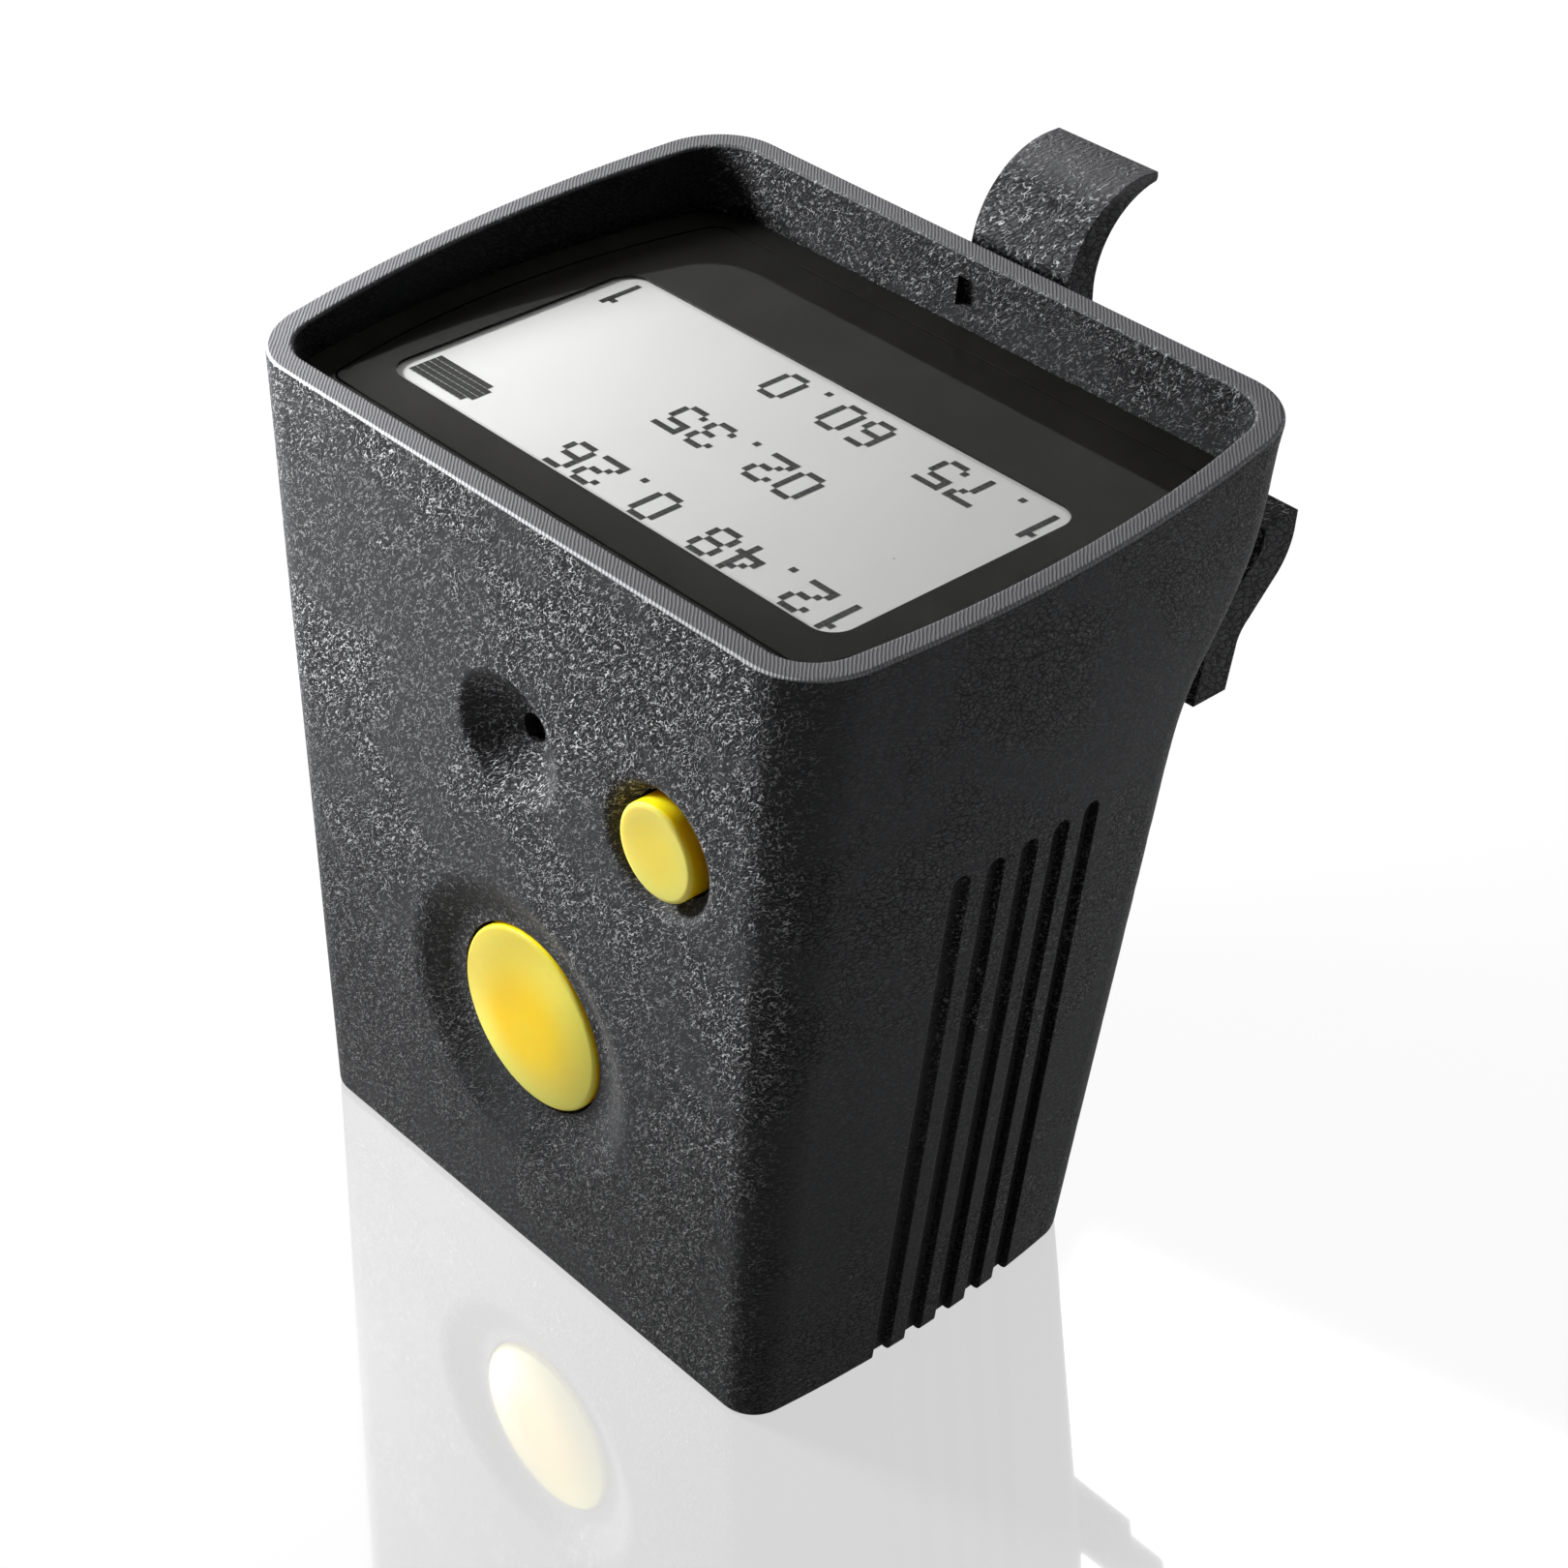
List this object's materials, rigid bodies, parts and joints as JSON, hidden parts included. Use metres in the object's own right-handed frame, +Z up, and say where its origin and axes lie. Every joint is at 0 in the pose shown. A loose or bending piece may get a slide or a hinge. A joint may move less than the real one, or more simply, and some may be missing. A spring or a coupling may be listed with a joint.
{
  "type": "shot timer",
  "caption": "Belt-worn shot timer: tapered open-topped housing with a display facing up, a microphone hollow, a large and a small push button in front and a hinged belt clip behind.",
  "frame": {"origin": "middle of the flat base, on the surface the timer stands on", "axes": "+Z up, -Y towards the front with the buttons, +Y towards the belt clip, X across"},
  "size_m": [0.0652, 0.0587, 0.0752],
  "materials": {
    "housing_plastic": "grained, moulded",
    "window_plastic": "clear, polished",
    "mask_print": "black printed film",
    "adhesive": "adhesive tape",
    "display_glass": "light reflective display",
    "light_guide": "milky light guide",
    "inner_plastic": "moulded",
    "flex_film": "polyimide ribbon",
    "button_plastic": "satin, moulded",
    "switch_plastic": "moulded",
    "plunger_plastic": "moulded",
    "capsule_metal": "drawn can",
    "black_rubber": "moulded",
    "circuit_board": "solder mask",
    "chip_resin": "moulded",
    "shield_can": "pressed can",
    "port_steel": "pressed shell",
    "cell_pouch": "foil pouch",
    "buzzer_case": "moulded",
    "grey_foam": "foam",
    "screw_steel": "zinc plated",
    "pin_steel": "ground",
    "clip_plastic": "grained, moulded"
  },
  "bodies": {
    "case": {"housing": "housing_plastic", "display_window": "window_plastic", "window_mask": "mask_print", "window_adhesive": "adhesive", "display_panel": "display_glass", "display_backlight": "light_guide", "display_carrier": "inner_plastic", "carrier_screws": "screw_steel", "display_flex": "flex_film", "main_board": "circuit_board", "board_screws": "screw_steel", "main_switch": "switch_plastic", "small_switch": "switch_plastic", "microphone": "capsule_metal", "microphone_boot": "black_rubber", "processor": "chip_resin", "radio_module": "shield_can", "charging_port": "port_steel", "battery_tray": "inner_plastic", "battery": "cell_pouch", "buzzer": "buzzer_case", "buzzer_gasket": "grey_foam", "bottom_cover": "housing_plastic", "bottom_gasket": "black_rubber", "cover_screws": "screw_steel", "clip_base": "clip_plastic", "clip_screws": "screw_steel", "clip_pin": "pin_steel", "clip_spring": "pin_steel"},
    "large_button": {"main_button": "button_plastic", "main_plunger": "plunger_plastic"},
    "mode_button": {"small_button": "button_plastic", "small_plunger": "plunger_plastic"},
    "clip": {"clip_lever": "clip_plastic"}
  },
  "joints": [
    {"name": "large_button_press", "type": "slide", "parent": "case", "child": "large_button", "axis": [0, 1, 0], "range_m": [0, 0.0006], "stiffness_N_per_m": 3000, "springref_m": -0.0002},
    {"name": "small_button_press", "type": "slide", "parent": "case", "child": "mode_button", "axis": [0, 1, 0], "range_m": [0, 0.0006], "stiffness_N_per_m": 3000, "springref_m": -0.0002},
    {"name": "clip_hinge", "type": "hinge", "parent": "case", "child": "clip", "pos_m": [0, 0.0256, 0.0485], "axis": [1, 0, 0], "range_deg": [0, 5], "stiffness_Nm_per_rad": 0.15, "springref_deg": -28.65}
  ]
}
